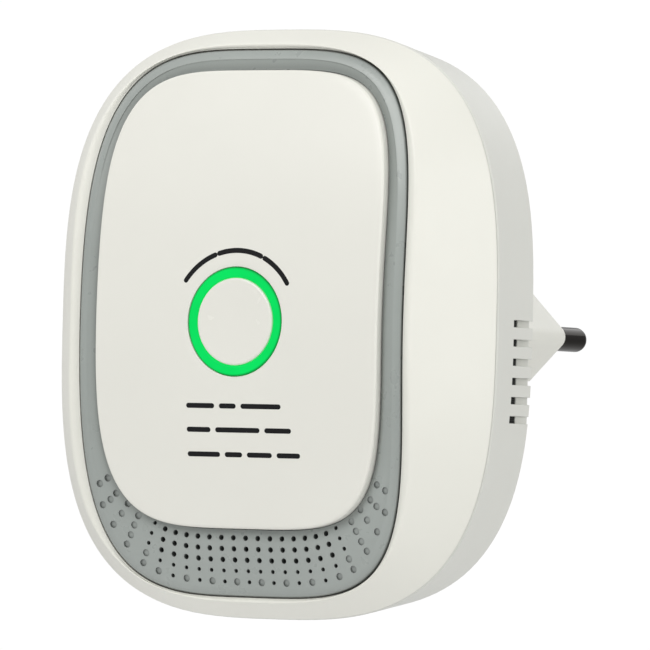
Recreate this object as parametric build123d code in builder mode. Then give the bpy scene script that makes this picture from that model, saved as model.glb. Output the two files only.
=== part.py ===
"""Plug-in carbon monoxide detector: domed two-shell housing, grille, test button, electronics and plug.

Frame: +Z up, +Y towards the wall, +X to the right as seen from the room.
The origin is the middle of the plug's end face, between the two pins.
A depth is counted from the apex of the front panel towards the wall.
"""

import math
import os

from build123d import *

os.makedirs("parts", exist_ok=True)

# ---- driving dimensions, millimetres ----
# depths of the main levels behind the front panel's apex
SEAM_DEPTH = 13.05
REAR_DEPTH = 26.5
PLUG_HEIGHT = 19.0
PLUG_DEPTH = REAR_DEPTH + PLUG_HEIGHT
PLUG_OFFSET = 17.5
PLUG_DROP = 0.75

# housing outline: superellipses
SEAM_HALF = (40.6, 47.2)
REAR_HALF = (39.6, 45.6)
RIM_HALF = (31.5, 41.0)
RIM_DEPTH = 0.99
HOUSING_POWER = 3.02
REAR_RADIUS = 0.5
WALL = 2.0
SEAM_GROOVE = 0.25

# front: every visible face is a cylinder about one horizontal axis
DOME_RADIUS = 156.0
FRAME_SINK = 1.0
RIM_SINK = 0.9
FRAME_FLOOR = 2.8
FRONT_WALL_BACK = 4.4
PANEL_HALF = (26.1, 36.54)
PANEL_POWER = 4.23
PANEL_LIFT = 3.7
PANEL_SEAT = 1.8
FRAME_HALF = (29.9, 43.7)
FRAME_POWER = 3.86
JOIN_GAP = 0.1

# test button, light guide and switch, all on the housing's centre line
GUIDE_RADIUS = 8.62
BUTTON_BORE = 7.05
BUTTON_RADIUS = 6.97
BUTTON_THICKNESS = 2.4
STEM_RADIUS = 2.2
STEM_CLEARANCE = 0.06
WEB_DEPTHS = (7.4, 9.0)
GUIDE_END = 14.2

# circuit board
BOARD_FRONT = 17.05
BOARD_THICKNESS = 1.6
BOARD_BACK = BOARD_FRONT + BOARD_THICKNESS
BOARD_HALF = (36.2, 42.4)
REAR_INNER = REAR_DEPTH - WALL
SWITCH_HEIGHT = 3.5
PLUNGER_HEIGHT = 1.5

# fasteners
SCREW_SPOTS = [(25, 33), (-25, 33), (25, -33), (-25, -33)]
SCREW_PLANE = 14.05
COLUMN_RADIUS = 4.2
FRONT_BOSS_RADIUS = 3.2
HEAD_RECESS = 3.5
BOARD_SPOTS = [(30, 18), (-30, 18), (30, -19.5), (-30, -19.5)]
POST_RADIUS = 3.0

# plug: flat two-pole pattern, 4 mm pins 19 mm apart
PLUG_HALF_WIDTH = 17.65
PLUG_THICKNESS = 14.4
PLUG_VERTEX = 1.9
PIN_RADIUS = 2.0
SHANK_RADIUS = 1.8
PIN_LENGTH = 19.0
PIN_PITCH = 19.0
PIN_TIP = 1.5
PLUG_SPOT = (PLUG_OFFSET, -PLUG_DROP)
PIN_SPOTS = {
    "left": (PLUG_OFFSET - PIN_PITCH / 2, -PLUG_DROP),
    "right": (PLUG_OFFSET + PIN_PITCH / 2, -PLUG_DROP),
}

# side ventilation slots, near the rear edge
SLOT_COUNT = 6
SLOT_PITCH = 3.04
SLOT_HEIGHT = 1.15
SLOT_LENGTH = 7.5
SLOT_OPEN_END = 22.7
SLOT_TOP = 0.7

# grille at the lower end of the frame
HOLE_PITCH = 1.75
HOLE_RADIUS = 0.44
SMALL_RADIUS = 0.33
DIMPLE_RADIUS = 0.58
DIMPLE_DEPTH = 0.16
EDGE_MARGIN = 2.4
CORNER_DIMPLES = [
    (22.3, -35.8), (21.4, -34.3), (20.6, -32.7), (19.8, -31.2), (24.5, -32.7), (22.8, -30.9), (21.6, -29.3),
    (26.2, -29.6), (24.7, -28.7), (23.6, -27.7), (26.5, -26.2), (25.0, -25.3),
]

# inner details of the housing
COLLAR_RADIUS = 12.0
COLLAR_FRONT = 3.6
GUIDE_SEAT = 5.8
STAKE_HEAD = 7.2
STAKE_END = 7.8
STAKE_RADIUS = 0.8
STAKE_CIRCLE = 10.3
STAKE_SPOTS = [
    (STAKE_CIRCLE * math.cos(math.radians(angle)), STAKE_CIRCLE * math.sin(math.radians(angle)))
    for angle in (90, 210, 330)
]
BOSS_FRONT = 7.4
BOSS_HOLE_END = 9.2
LIP_FRONT = 11.85
LIP_FOOT = 13.9
LIP_INSET = 2.75
WINDOW_TOP = -31.5
WINDOW_WIDTH = 41.2
WINDOW_BACK = 10.6
MESH_THICKNESS = 0.3
SLOT_X = 41.2
SLOT_REACH = 5.0
POCKET_X = 37.8
POCKET_HEIGHT = 18.8
LABEL_SIZE = (26, 34)
LABEL_SPOT = (-19, 0)
LABEL_SINK = 0.3

# button and switch details
GUIDE_FRONT = 0.05
GUIDE_ROUND = 0.25
BUTTON_ROUND = 0.4
WEB_FRONT, WEB_BACK = WEB_DEPTHS
SWITCH_TOP = BOARD_FRONT - SWITCH_HEIGHT - PLUNGER_HEIGHT
SWITCH_WIDTH = 6.2
PLUNGER_RADIUS = 1.7
CLIP_THICKNESS = 0.7
CLIP_RADIUS = 3.6
CLIP_GROOVE_RADIUS = 1.7
SPRING_RADIUS = 3.6
SPRING_WIRE = 0.25
SPRING_TURNS = 4
LED_CIRCLE = 7.8
LED_ANGLES = {"green": 90, "yellow": 30, "red": 150}

# screws
SCREW_RADIUS = 1.45
HEAD_RADIUS = 2.75
BOARD_SCREW_RADIUS = 1.1
FLANGE_FRONT = 21.25
PLUG_SCREW_SPOTS = [(PLUG_OFFSET, side * 12.2 - PLUG_DROP) for side in (1, -1)]
PIN_TAIL = 20.2
STRIP = 0.4

# board components: centres on the board, x and z
SOUNDER_SPOT = (0, -33)
SOUNDER_RADIUS = 7.0
SOUNDER_HEIGHT = 6.0
SOUNDER_LEDGE = 13.0
SENSOR_SPOT = (18.2, -22)
SENSOR_RADIUS = 6.2
SENSOR_TOP = 8.8
SENSOR_FOOT = 15.55
TRANSFORMER_SPOT = (-6, 24.5)
CORE_FRONT = 8.6
CORE_BACK = 16.4
LYING_CAPACITOR_X = 8
LYING_CAPACITOR_Z = 30
VARISTOR_SPOT = (29.5, 2)
FUSE_SPOT = (22, 11)
OUTPUT_CAPACITOR_SPOT = (-20, 22)
BOARD_BLOCKS = {
    "film_capacitor": (12, 6, 8.5, 0.5, (14, 20.5)),
    "bridge_rectifier": (4.7, 6.4, 2.5, 0.2, (4, 15.5)),
    "supply_chip": (5, 4, 1.6, 0.2, (-4, 14.5)),
    "optocoupler": (4.6, 6.5, 3.5, 0.2, (-13, 13)),
    "voltage_regulator": (6.5, 3.6, 1.7, 0.2, (-27, 9)),
    "microcontroller": (7, 7, 1.1, 0.3, (-22, -4)),
    "crystal": (11, 4.6, 3.5, 2.2, (-21, -14)),
}

BODY_FRONT = Plane(origin=(-PLUG_OFFSET, -PLUG_DEPTH, PLUG_DROP), x_dir=(1, 0, 0), z_dir=(0, -1, 0))
FAR = 60
OUTLINE_POINTS = 28


# ---- helpers; x and z are counted from the housing's centre line ----
def station(depth):
    """The plane at a depth behind the panel's apex, seen from the room."""
    return BODY_FRONT.offset(-depth)


def superellipse_point(half, power, turn):
    """A point of |x/a|^n + |z/b|^n = 1; the angle is nudged so that points crowd at the corners."""
    angle = 2 * math.pi * turn + 0.05 * math.sin(8 * math.pi * turn)
    cosine, sine = math.cos(angle), math.sin(angle)
    reach = (abs(cosine) ** power + abs(sine) ** power) ** (-1 / power)
    return (half[0] * reach * cosine, half[1] * reach * sine)


def superellipse_face(depth, half, power, lift=0.0):
    """A filled superellipse standing at a depth."""
    points = [superellipse_point(half, power, i / OUTLINE_POINTS) for i in range(OUTLINE_POINTS)]
    with BuildSketch(station(depth)) as sketch:
        with BuildLine():
            Spline(*[(x, z + lift) for x, z in points], periodic=True)
        make_face()
    return sketch.sketch


def slab(front, back, half, power, lift=0.0, mode=Mode.ADD):
    """A superellipse slab between two depths."""
    extrude(superellipse_face(back, half, power, lift), amount=back - front, mode=mode)


def rod(front, back, radius, spots=((0, 0),), mode=Mode.ADD):
    """Round rods or holes between two depths."""
    with BuildSketch(station(back)) as sketch:
        with Locations(*spots):
            Circle(radius)
    extrude(sketch.sketch, amount=back - front, mode=mode)


def block(front, back, width, height, spots=((0, 0),), corner=0.0, mode=Mode.ADD):
    """Rectangular blocks or pockets between two depths, with round corners if asked."""
    with BuildSketch(station(back)) as sketch:
        with Locations(*spots):
            if corner:
                RectangleRounded(width, height, corner)
            else:
                Rectangle(width, height)
    extrude(sketch.sketch, amount=back - front, mode=mode)


def dome(sink, mode):
    """Keep or remove all that lies behind the front surface sunk by an amount."""
    with BuildSketch(Plane.YZ.offset(-PLUG_OFFSET)) as sketch:
        with Locations((DOME_RADIUS - PLUG_DEPTH, PLUG_DROP)):
            Circle(DOME_RADIUS - sink)
    extrude(sketch.sketch, amount=FAR, both=True, mode=mode)


def grow(half, amount):
    """A superellipse's two half sizes made larger all round."""
    return (half[0] + amount, half[1] + amount)


def shell_half(depth):
    """Half sizes of the front shell at a depth: a shoulder that steepens towards the parting line."""
    along = (depth - RIM_DEPTH) / (SEAM_DEPTH - RIM_DEPTH)
    bulge = 1.18 * along - 0.18 * along**2
    return tuple(rim + (seam - rim) * bulge for rim, seam in zip(RIM_HALF, SEAM_HALF))


def stack(sections):
    """Straight-sided superellipse bands between neighbouring (depth, half sizes)."""
    for near, far in zip(sections, sections[1:]):
        add(superellipse_face(*near, HOUSING_POWER))
        add(superellipse_face(*far, HOUSING_POWER))
        loft(ruled=True)


def save(builder, name):
    """Label a finished piece and write it."""
    builder.part.label = name
    export_step(builder.part, f"parts/{name}.step")


def outline_height(x):
    """Height of the frame's outline over its centre at a sideways distance."""
    return FRAME_HALF[1] * (1 - abs(x / FRAME_HALF[0]) ** FRAME_POWER) ** (1 / FRAME_POWER)


def grille_spots():
    """Fan of hole columns, in three lists: full holes, small holes and blind dimples."""
    full, small, blind = [], [], [(side * x, z) for x, z in CORNER_DIMPLES for side in (-1, 1)]
    for column in range(-8, 9):
        away = abs(column)
        lean = math.radians(0.045 * away**3)
        x_last = 2.27 * away + 0.0027 * away**3
        z_last = EDGE_MARGIN / math.cos(lean) - outline_height(x_last)
        for row in range(5 if away > 6 else 6):
            reach = HOLE_PITCH * row
            spot = (math.copysign(x_last - reach * math.sin(lean), column), z_last + reach * math.cos(lean))
            if row == 0 and away % 2 or away == 8 and row < 2:
                blind.append(spot)
            elif row < 2 or away == 8:
                small.append(spot)
            else:
                full.append(spot)
    return full, small, blind


# ---- tools shared by several pieces ----
full_holes, small_holes, dimples = grille_spots()

with BuildPart() as front_inside:
    for depth in (-1, 2, 5, 8, 11, 14):
        add(superellipse_face(depth + 1.0, grow(shell_half(depth), -1.6), HOUSING_POWER))
    loft()
    dome(FRONT_WALL_BACK, Mode.INTERSECT)

with BuildPart() as frame_seat:
    slab(-5, FAR, grow(FRAME_HALF, JOIN_GAP), FRAME_POWER)
    dome(FRAME_FLOOR, Mode.SUBTRACT)

with BuildPart() as panel_seat:
    slab(-5, FAR, grow(PANEL_HALF, JOIN_GAP), PANEL_POWER, PANEL_LIFT)
    dome(PANEL_SEAT, Mode.SUBTRACT)

with BuildPart() as dimple_tool:
    rod(-1, 12, DIMPLE_RADIUS, dimples)
    dome(FRAME_SINK + DIMPLE_DEPTH, Mode.SUBTRACT)

with BuildPart() as grille_window:
    slab(0, WINDOW_BACK, grow(FRAME_HALF, -1.8), FRAME_POWER)
    block(0, WINDOW_BACK, WINDOW_WIDTH, 20, [(0, WINDOW_TOP - 10)], mode=Mode.INTERSECT)

with BuildPart() as rear_inside:
    stack([(SEAM_DEPTH - 1, grow(SEAM_HALF, -WALL)), (REAR_INNER, grow(REAR_HALF, -WALL))])

with BuildSketch(station(PLUG_DEPTH)) as plug_outline:
    with BuildLine():
        half = PLUG_THICKNESS / 2
        point = PLUG_HALF_WIDTH + PLUG_VERTEX * (math.sqrt(2) - 1)
        Polyline((point, 0), (point - half, half), (half - point, half), (-point, 0), close=False)
        mirror(about=Plane.XZ)
    make_face()
    tips = plug_outline.vertices().sort_by(Axis.X)
    fillet([tips[0], tips[-1]], PLUG_VERTEX)


def plug_face(depth, spare=0.0):
    """The plug's six-sided outline at a depth, made larger by an amount."""
    move = Location((PLUG_OFFSET, depth - PLUG_DEPTH, -PLUG_DROP))
    return offset(plug_outline.sketch.moved(move), amount=spare, mode=Mode.PRIVATE)


# ---- housing ----
with BuildPart() as front_cover:
    for depth in (-1, 1.5, 4, 7, 10, SEAM_DEPTH - SEAM_GROOVE):
        add(superellipse_face(depth, shell_half(depth), HOUSING_POWER))
    loft()
    lip = shell_half(SEAM_DEPTH - SEAM_GROOVE)
    stack([(SEAM_DEPTH - SEAM_GROOVE, lip), (SEAM_DEPTH, grow(SEAM_HALF, -SEAM_GROOVE))])
    dome(RIM_SINK, Mode.INTERSECT)
    add(front_inside.part, mode=Mode.SUBTRACT)
    add(frame_seat.part, mode=Mode.SUBTRACT)
    rod(COLLAR_FRONT, GUIDE_SEAT, COLLAR_RADIUS)
    rod(GUIDE_SEAT, STAKE_HEAD, STAKE_RADIUS, STAKE_SPOTS)
    rod(STAKE_HEAD, STAKE_END, STAKE_RADIUS + 0.45, STAKE_SPOTS)
    rod(BOSS_FRONT, SCREW_PLANE, FRONT_BOSS_RADIUS, SCREW_SPOTS)
    rod(BOSS_HOLE_END, SCREW_PLANE, SCREW_RADIUS + 0.05, SCREW_SPOTS, Mode.SUBTRACT)
    rod(0, SEAM_DEPTH, GUIDE_RADIUS + JOIN_GAP, mode=Mode.SUBTRACT)
    add(grille_window.part, mode=Mode.SUBTRACT)
save(front_cover, "front_cover")

with BuildPart() as rear_cover:
    stack([
        (SEAM_DEPTH, grow(SEAM_HALF, -SEAM_GROOVE)),
        (SEAM_DEPTH + SEAM_GROOVE, SEAM_HALF),
        (REAR_DEPTH - REAR_RADIUS, REAR_HALF),
        (REAR_DEPTH - REAR_RADIUS * 0.3, grow(REAR_HALF, -REAR_RADIUS * 0.3)),
        (REAR_DEPTH, grow(REAR_HALF, -REAR_RADIUS)),
    ])
    add(rear_inside.part, mode=Mode.SUBTRACT)
    slab(LIP_FRONT, LIP_FOOT, grow(SEAM_HALF, -LIP_INSET), HOUSING_POWER)
    slab(LIP_FOOT, LIP_FOOT + 1.6, grow(SEAM_HALF, -1.5), HOUSING_POWER)
    slab(LIP_FRONT, LIP_FOOT + 1.6, grow(SEAM_HALF, -LIP_INSET - 1), HOUSING_POWER, mode=Mode.SUBTRACT)
    rod(LIP_FRONT, SCREW_PLANE, FRONT_BOSS_RADIUS + 0.4, SCREW_SPOTS, Mode.SUBTRACT)
    rod(SCREW_PLANE, REAR_INNER + 0.1, COLUMN_RADIUS, SCREW_SPOTS)
    rod(BOARD_BACK, REAR_INNER + 0.1, POST_RADIUS, BOARD_SPOTS)
    rod(BOARD_BACK, BOARD_BACK + 4, BOARD_SCREW_RADIUS + 0.05, BOARD_SPOTS, Mode.SUBTRACT)
    rod(SCREW_PLANE, REAR_DEPTH, SCREW_RADIUS + 0.15, SCREW_SPOTS, Mode.SUBTRACT)
    rod(REAR_DEPTH - HEAD_RECESS, REAR_DEPTH, HEAD_RADIUS + 0.2, SCREW_SPOTS, Mode.SUBTRACT)
    rod(REAR_INNER, REAR_INNER + 1.6, BOARD_SCREW_RADIUS + 0.05, PLUG_SCREW_SPOTS, Mode.SUBTRACT)
    extrude(plug_face(REAR_DEPTH, 0.12), amount=WALL + 0.5, mode=Mode.SUBTRACT)
    slot_rows = [SLOT_TOP - SLOT_PITCH * row for row in range(SLOT_COUNT)]
    slot_spots = [(side * SLOT_X, z) for side in (-1, 1) for z in slot_rows]
    block(REAR_DEPTH - SLOT_LENGTH, REAR_DEPTH, SLOT_REACH, SLOT_HEIGHT, slot_spots, mode=Mode.SUBTRACT)
    pocket_spots = [(side * POCKET_X, SLOT_TOP - SLOT_PITCH * (SLOT_COUNT - 1) / 2) for side in (-1, 1)]
    block(REAR_DEPTH - SLOT_LENGTH - 1, SLOT_OPEN_END, 2, POCKET_HEIGHT, pocket_spots, mode=Mode.SUBTRACT)
    block(REAR_DEPTH - LABEL_SINK, REAR_DEPTH, *LABEL_SIZE, [LABEL_SPOT], 2, Mode.SUBTRACT)
save(rear_cover, "rear_cover")

with BuildPart() as rating_label:
    label_width, label_height = LABEL_SIZE
    label_back = REAR_DEPTH - 0.05
    block(REAR_DEPTH - LABEL_SINK, label_back, label_width - 0.4, label_height - 0.4, [LABEL_SPOT], 1.8)
save(rating_label, "rating_label")

with BuildPart() as grille_frame:
    slab(-5, FAR / 2, FRAME_HALF, FRAME_POWER)
    dome(FRAME_SINK, Mode.INTERSECT)
    dome(FRAME_FLOOR, Mode.SUBTRACT)
    add(panel_seat.part, mode=Mode.SUBTRACT)
    rod(0, 12, HOLE_RADIUS, full_holes, Mode.SUBTRACT)
    rod(0, 12, SMALL_RADIUS, small_holes, Mode.SUBTRACT)
    add(dimple_tool.part, mode=Mode.SUBTRACT)
    rod(0, 12, GUIDE_RADIUS + JOIN_GAP, mode=Mode.SUBTRACT)
save(grille_frame, "grille_frame")

with BuildPart() as front_panel:
    slab(-5, FAR / 2, PANEL_HALF, PANEL_POWER, PANEL_LIFT)
    dome(0, Mode.INTERSECT)
    dome(PANEL_SEAT, Mode.SUBTRACT)
    rod(-1, 5, GUIDE_RADIUS + JOIN_GAP, mode=Mode.SUBTRACT)
save(front_panel, "front_panel")

with BuildPart() as acoustic_mesh:
    slab(0, WINDOW_BACK, grow(FRAME_HALF, -1.9), FRAME_POWER)
    block(0, WINDOW_BACK, WINDOW_WIDTH - 0.2, 20, [(0, WINDOW_TOP - 10.1)], mode=Mode.INTERSECT)
    dome(FRAME_FLOOR, Mode.INTERSECT)
    dome(FRAME_FLOOR + MESH_THICKNESS, Mode.SUBTRACT)
save(acoustic_mesh, "acoustic_mesh")

# ---- test button, light guide and switch ----
with BuildPart() as light_guide:
    rod(GUIDE_FRONT, GUIDE_END, GUIDE_RADIUS)
    rod(GUIDE_SEAT, STAKE_HEAD, COLLAR_RADIUS)
    rod(GUIDE_FRONT, WEB_FRONT, BUTTON_BORE, mode=Mode.SUBTRACT)
    rod(WEB_BACK, GUIDE_END, BUTTON_BORE, mode=Mode.SUBTRACT)
    rod(WEB_FRONT, WEB_BACK, STEM_RADIUS + STEM_CLEARANCE, mode=Mode.SUBTRACT)
    rod(GUIDE_SEAT, STAKE_HEAD, STAKE_RADIUS + 0.05, STAKE_SPOTS, Mode.SUBTRACT)
    front_rims = light_guide.edges().filter_by(GeomType.CIRCLE).group_by(Axis.Y)[0]
    fillet(front_rims, GUIDE_ROUND)
save(light_guide, "light_guide")

with BuildPart() as test_button:
    rod(0, BUTTON_THICKNESS, BUTTON_RADIUS)
    fillet(test_button.edges().group_by(Axis.Y)[0], BUTTON_ROUND)
    rod(BUTTON_THICKNESS, SWITCH_TOP, STEM_RADIUS)
    rod(WEB_BACK, WEB_BACK + CLIP_THICKNESS, STEM_RADIUS, mode=Mode.SUBTRACT)
    rod(WEB_BACK, WEB_BACK + CLIP_THICKNESS, CLIP_GROOVE_RADIUS)
save(test_button, "test_button")

with BuildPart() as button_clip:
    clip_back = WEB_BACK + CLIP_THICKNESS
    clip_mouth = CLIP_GROOVE_RADIUS * 1.6
    rod(WEB_BACK, clip_back, CLIP_RADIUS)
    rod(WEB_BACK, clip_back, CLIP_GROOVE_RADIUS + 0.05, mode=Mode.SUBTRACT)
    block(WEB_BACK, clip_back, clip_mouth, CLIP_RADIUS, [(0, -CLIP_RADIUS / 2)], mode=Mode.SUBTRACT)
save(button_clip, "button_clip")

with BuildPart() as button_spring:
    spring_length = WEB_FRONT - BUTTON_THICKNESS - 2 * SPRING_WIRE - 0.06
    spring_foot = station(WEB_FRONT - SPRING_WIRE - 0.03)
    with BuildLine() as coil:
        pitch = spring_length / SPRING_TURNS
        Helix(pitch, spring_length, SPRING_RADIUS, spring_foot.origin, spring_foot.z_dir)
    with BuildSketch(Plane(origin=coil.line @ 0, z_dir=coil.line % 0)):
        Circle(SPRING_WIRE)
    sweep()
save(button_spring, "button_spring")

with BuildPart() as switch_body:
    switch_front = BOARD_FRONT - SWITCH_HEIGHT
    block(switch_front, BOARD_FRONT, SWITCH_WIDTH, SWITCH_WIDTH, corner=0.5)
    rod(switch_front, switch_front + 1.4, PLUNGER_RADIUS + 0.06, mode=Mode.SUBTRACT)
save(switch_body, "switch_body")

with BuildPart() as switch_plunger:
    rod(SWITCH_TOP, switch_front + 0.9, PLUNGER_RADIUS)
    fillet(switch_plunger.edges().group_by(Axis.Y)[0], 0.2)
save(switch_plunger, "switch_plunger")

for colour, first_angle in LED_ANGLES.items():
    angles = [math.radians(first_angle + turn) for turn in (0, 180)]
    spots = [(LED_CIRCLE * math.cos(angle), LED_CIRCLE * math.sin(angle)) for angle in angles]
    with BuildPart() as led:
        block(BOARD_FRONT - 1.4, BOARD_FRONT, 2.8, 2.8, spots, 0.3)
        rod(BOARD_FRONT - 1.4, BOARD_FRONT - 1.2, 1.1, spots, Mode.SUBTRACT)
    save(led, f"led_{colour}")

# ---- circuit board and what stands on it ----
with BuildPart() as main_board:
    slab(BOARD_FRONT, BOARD_BACK, BOARD_HALF, HOUSING_POWER)
    rod(BOARD_FRONT, BOARD_BACK, COLUMN_RADIUS + 0.6, SCREW_SPOTS, Mode.SUBTRACT)
    corner_spots = [(x * 1.3, z * 1.18) for x, z in SCREW_SPOTS]
    block(BOARD_FRONT, BOARD_BACK, 13, 11, corner_spots, mode=Mode.SUBTRACT)
    rod(BOARD_FRONT, BOARD_BACK, BOARD_SCREW_RADIUS + 0.2, BOARD_SPOTS, Mode.SUBTRACT)
save(main_board, "main_board")

with BuildPart() as sounder_case:
    rod(BOARD_FRONT - SOUNDER_HEIGHT, BOARD_FRONT, SOUNDER_RADIUS, [SOUNDER_SPOT])
    fillet(sounder_case.edges().group_by(Axis.Y)[0], 0.5)
    rod(SOUNDER_LEDGE - 1, SOUNDER_LEDGE, SOUNDER_RADIUS - 1.5, [SOUNDER_SPOT], Mode.SUBTRACT)
    rod(SOUNDER_LEDGE, BOARD_FRONT, SOUNDER_RADIUS - 0.8, [SOUNDER_SPOT], Mode.SUBTRACT)
    rod(0, SOUNDER_LEDGE, 1.2, [SOUNDER_SPOT], Mode.SUBTRACT)
save(sounder_case, "sounder_case")

with BuildPart() as sounder_disc:
    rod(SOUNDER_LEDGE, SOUNDER_LEDGE + 0.25, SOUNDER_RADIUS - 0.85, [SOUNDER_SPOT])
save(sounder_disc, "sounder_disc")

with BuildPart() as sensor_base:
    rod(SENSOR_FOOT, BOARD_FRONT, SENSOR_RADIUS + 0.8, [SENSOR_SPOT])
save(sensor_base, "sensor_base")

with BuildPart() as sensor_can:
    rod(SENSOR_TOP, SENSOR_FOOT, SENSOR_RADIUS, [SENSOR_SPOT])
    fillet(sensor_can.edges().group_by(Axis.Y)[0], 0.4)
    rod(SENSOR_TOP + 0.5, SENSOR_FOOT, SENSOR_RADIUS - 0.4, [SENSOR_SPOT], Mode.SUBTRACT)
    rod(SENSOR_TOP, SENSOR_TOP + 0.5, SENSOR_RADIUS - 2.4, [SENSOR_SPOT], Mode.SUBTRACT)
save(sensor_can, "sensor_can")

with BuildPart() as sensor_filter:
    rod(SENSOR_TOP + 0.5, SENSOR_TOP + 1.3, SENSOR_RADIUS - 0.45, [SENSOR_SPOT])
save(sensor_filter, "sensor_filter")

with BuildPart() as sensor_element:
    rod(SENSOR_FOOT - 2.6, SENSOR_FOOT, 2.2, [SENSOR_SPOT])
save(sensor_element, "sensor_element")

with BuildPart() as transformer_core:
    block(CORE_FRONT, CORE_BACK, 13, 6, [TRANSFORMER_SPOT])
    windows = [(TRANSFORMER_SPOT[0] + side * 3.25, TRANSFORMER_SPOT[1]) for side in (-1, 1)]
    block(CORE_FRONT + 1.8, CORE_BACK - 1.8, 2.5, 6, windows, mode=Mode.SUBTRACT)
save(transformer_core, "transformer_core")

with BuildPart() as transformer_winding:
    block(CORE_FRONT + 1.9, CORE_BACK - 1.9, 8.8, 10.8, [TRANSFORMER_SPOT], 1.5)
    block(CORE_FRONT + 1.9, CORE_BACK - 1.9, 4.1, 6.1, [TRANSFORMER_SPOT], mode=Mode.SUBTRACT)
save(transformer_winding, "transformer_winding")

with BuildPart() as transformer_base:
    block(CORE_BACK, BOARD_FRONT, 12, 13, [TRANSFORMER_SPOT], 0.6)
save(transformer_base, "transformer_base")

with BuildPart() as input_capacitor:
    with BuildSketch(Plane.YZ.offset(LYING_CAPACITOR_X - PLUG_OFFSET)) as can_section:
        with Locations((BOARD_FRONT - 4.05 - PLUG_DEPTH, LYING_CAPACITOR_Z + PLUG_DROP)):
            Circle(4)
    extrude(can_section.sketch, amount=12)
    fillet(input_capacitor.edges().filter_by(GeomType.CIRCLE), 0.5)
save(input_capacitor, "input_capacitor")

with BuildPart() as varistor:
    with BuildSketch(Plane.YZ.offset(VARISTOR_SPOT[0] - PLUG_OFFSET)) as disc_section:
        with Locations((BOARD_FRONT - 4.6 - PLUG_DEPTH, VARISTOR_SPOT[1] + PLUG_DROP)):
            Circle(4.5)
    extrude(disc_section.sketch, amount=3.6)
    fillet(varistor.edges().filter_by(GeomType.CIRCLE), 0.8)
save(varistor, "varistor")

with BuildPart() as fuse:
    rod(BOARD_FRONT - 7.6, BOARD_FRONT, 4.1, [FUSE_SPOT])
    fillet(fuse.edges().group_by(Axis.Y)[0], 0.4)
save(fuse, "fuse")

with BuildPart() as output_capacitor:
    rod(BOARD_FRONT - 7, BOARD_FRONT, 3.15, [OUTPUT_CAPACITOR_SPOT])
    fillet(output_capacitor.edges().group_by(Axis.Y)[0], 0.4)
save(output_capacitor, "output_capacitor")

for name, (width, height, tall, corner, spot) in BOARD_BLOCKS.items():
    with BuildPart() as component:
        block(BOARD_FRONT - tall, BOARD_FRONT, width, height, [spot], corner)
    save(component, name)

# ---- plug ----
with BuildPart() as plug_body:
    extrude(plug_face(PLUG_DEPTH), amount=PLUG_DEPTH - FLANGE_FRONT)
    chamfer(plug_body.faces().sort_by(Axis.Y)[-1].edges(), 0.5)
    extrude(plug_face(REAR_INNER, 1.8), amount=REAR_INNER - FLANGE_FRONT)
    block(FLANGE_FRONT, REAR_INNER, 8, 31, [PLUG_SPOT], 3)
    pin_holes = list(PIN_SPOTS.values())
    rod(FLANGE_FRONT, PLUG_DEPTH, SHANK_RADIUS + 0.02, pin_holes, Mode.SUBTRACT)
    rod(FLANGE_FRONT, REAR_INNER, BOARD_SCREW_RADIUS + 0.2, PLUG_SCREW_SPOTS, Mode.SUBTRACT)
save(plug_body, "plug_body")

with BuildPart() as insulating_sheet:
    block(FLANGE_FRONT - 0.5, FLANGE_FRONT, 38, 17, [PLUG_SPOT], 2)
    rod(FLANGE_FRONT - 0.5, FLANGE_FRONT, SHANK_RADIUS + 0.3, pin_holes, Mode.SUBTRACT)
save(insulating_sheet, "insulating_sheet")

for side, (x, z) in PIN_SPOTS.items():
    with BuildPart() as plug_pin:
        rod(PLUG_DEPTH, PLUG_DEPTH + PIN_LENGTH, PIN_RADIUS, [(x, z)])
        fillet(plug_pin.edges().group_by(Axis.Y)[-1], PIN_TIP)
        rod(PIN_TAIL, PLUG_DEPTH, SHANK_RADIUS, [(x, z)])
    save(plug_pin, f"plug_pin_{side}")

    with BuildPart() as pin_contact:
        block(PIN_TAIL - STRIP, PIN_TAIL, 6, 4, [(x, z)])
        block(BOARD_BACK, PIN_TAIL, STRIP, 4, [(x - 3 + STRIP / 2, z)])
        block(BOARD_BACK, BOARD_BACK + STRIP, 6, 4, [(x, z)])
    save(pin_contact, f"pin_contact_{side}")

# ---- fasteners ----
with BuildPart() as housing_screws:
    head_seat = REAR_DEPTH - HEAD_RECESS
    rod(head_seat, head_seat + 2, HEAD_RADIUS, SCREW_SPOTS)
    fillet(housing_screws.edges().group_by(Axis.Y)[-1], 0.6)
    rod(BOSS_HOLE_END + 0.4, head_seat, SCREW_RADIUS, SCREW_SPOTS)
    block(head_seat + 1, head_seat + 2, 3.2, 0.7, SCREW_SPOTS, mode=Mode.SUBTRACT)
    block(head_seat + 1, head_seat + 2, 0.7, 3.2, SCREW_SPOTS, mode=Mode.SUBTRACT)
save(housing_screws, "housing_screws")

with BuildPart() as board_screws:
    rod(BOARD_FRONT - 1.5, BOARD_FRONT, 2.4, BOARD_SPOTS)
    fillet(board_screws.edges().group_by(Axis.Y)[0], 0.5)
    rod(BOARD_FRONT, BOARD_BACK + 3.6, BOARD_SCREW_RADIUS, BOARD_SPOTS)
    block(BOARD_FRONT - 1.5, BOARD_FRONT - 0.8, 2.6, 0.6, BOARD_SPOTS, mode=Mode.SUBTRACT)
    block(BOARD_FRONT - 1.5, BOARD_FRONT - 0.8, 0.6, 2.6, BOARD_SPOTS, mode=Mode.SUBTRACT)
save(board_screws, "board_screws")

with BuildPart() as plug_screws:
    rod(FLANGE_FRONT - 1.2, FLANGE_FRONT, 2.0, PLUG_SCREW_SPOTS)
    fillet(plug_screws.edges().group_by(Axis.Y)[0], 0.4)
    rod(FLANGE_FRONT, REAR_INNER + 1.4, BOARD_SCREW_RADIUS, PLUG_SCREW_SPOTS)
save(plug_screws, "plug_screws")
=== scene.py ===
"""Plug-in carbon monoxide detector: looks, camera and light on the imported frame."""

import math

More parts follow.
